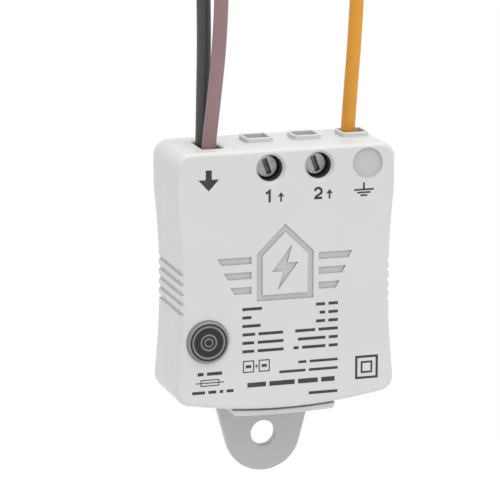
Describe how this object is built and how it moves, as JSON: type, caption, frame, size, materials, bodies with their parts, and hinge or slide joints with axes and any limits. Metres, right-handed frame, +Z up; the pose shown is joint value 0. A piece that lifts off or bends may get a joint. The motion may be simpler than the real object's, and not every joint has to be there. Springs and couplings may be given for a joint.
{
  "type": "whole house surge protector",
  "caption": "Flat upright surge protector case with stiff line and earth leads on top, screw terminals, a ringed indicator lens, grip grooves and a mounting ear.",
  "frame": {"origin": "middle of the flat back of the case, halfway between its top wall and the lowest point of its bowed bottom wall", "axes": "+Z up towards the leads, +Y out of the flat back into the wall, +X to the right as seen from the front panel, which faces -Y"},
  "size_m": [0.048, 0.0191, 0.1727],
  "materials": {
    "case_plastic": "fine matt",
    "cover_plastic": "fine matt",
    "lens_smoke": "gloss, ringed",
    "lamp_green": "clear gloss",
    "black_plastic": "satin",
    "board_green": "solder resist",
    "varistor_blue": "dipped coating",
    "ceramic_white": "glazed ceramic",
    "fuse_white": "ceramic tube",
    "resistor_tan": "lacquer",
    "diode_black": "moulded",
    "grip_grey": "satin",
    "terminal_black": "satin",
    "screw_steel": "zinc plated",
    "cage_zinc": "zinc plated",
    "bar_copper": "tinned copper",
    "sheath_black": "PVC sheath",
    "sheath_brown": "PVC sheath",
    "sheath_orange": "PVC sheath",
    "bare_copper": "bright copper"
  },
  "bodies": {
    "case": {"front_casing": "case_plastic", "rear_cover": "cover_plastic", "indicator_lens": "lens_smoke", "status_lamp": "lamp_green", "lamp_spacer": "black_plastic", "circuit_board": "board_green", "varistor_1": "varistor_blue", "varistor_2": "varistor_blue", "varistor_3": "varistor_blue", "discharge_tube": "ceramic_white", "thermal_fuse_1": "fuse_white", "thermal_fuse_2": "fuse_white", "lamp_resistor": "resistor_tan", "lamp_diode": "diode_black", "terminal_housing_1": "terminal_black", "terminal_housing_2": "terminal_black", "contact_bar_1": "bar_copper", "contact_bar_2": "bar_copper", "input_lead_grip": "grip_grey", "earth_lead_grip": "grip_grey", "black_lead": "sheath_black", "brown_lead": "sheath_brown", "orange_lead": "sheath_orange", "black_lead_bare_end": "bare_copper", "brown_lead_bare_end": "bare_copper", "orange_lead_bare_end": "bare_copper", "black_lead_tail": "bare_copper", "brown_lead_tail": "bare_copper", "orange_lead_tail": "bare_copper"},
    "screw_1": {"terminal_screw_1": "screw_steel"},
    "screw_2": {"terminal_screw_2": "screw_steel"},
    "cage_1": {"clamp_cage_1": "cage_zinc"},
    "cage_2": {"clamp_cage_2": "cage_zinc"}
  },
  "joints": [
    {"name": "terminal_screw_1_turn", "type": "hinge", "parent": "case", "child": "screw_1", "pos_m": [-0.00345, -0.0152, 0.0238], "axis": [0, 1, 0], "range_deg": [0, 1585]},
    {"name": "clamp_cage_1_slide", "type": "slide", "parent": "case", "child": "cage_1", "axis": [0, -1, 0], "range_m": [0, 0.0022]},
    {"name": "terminal_screw_2_turn", "type": "hinge", "parent": "case", "child": "screw_2", "pos_m": [0.0072, -0.0152, 0.0238], "axis": [0, 1, 0], "range_deg": [0, 1585]},
    {"name": "clamp_cage_2_slide", "type": "slide", "parent": "case", "child": "cage_2", "axis": [0, -1, 0], "range_m": [0, 0.0022]}
  ],
  "couplings": [
    {"joint": "terminal_screw_1_turn", "follows": "clamp_cage_1_slide", "rad_per_m": 12566},
    {"joint": "terminal_screw_2_turn", "follows": "clamp_cage_2_slide", "rad_per_m": 12566}
  ]
}
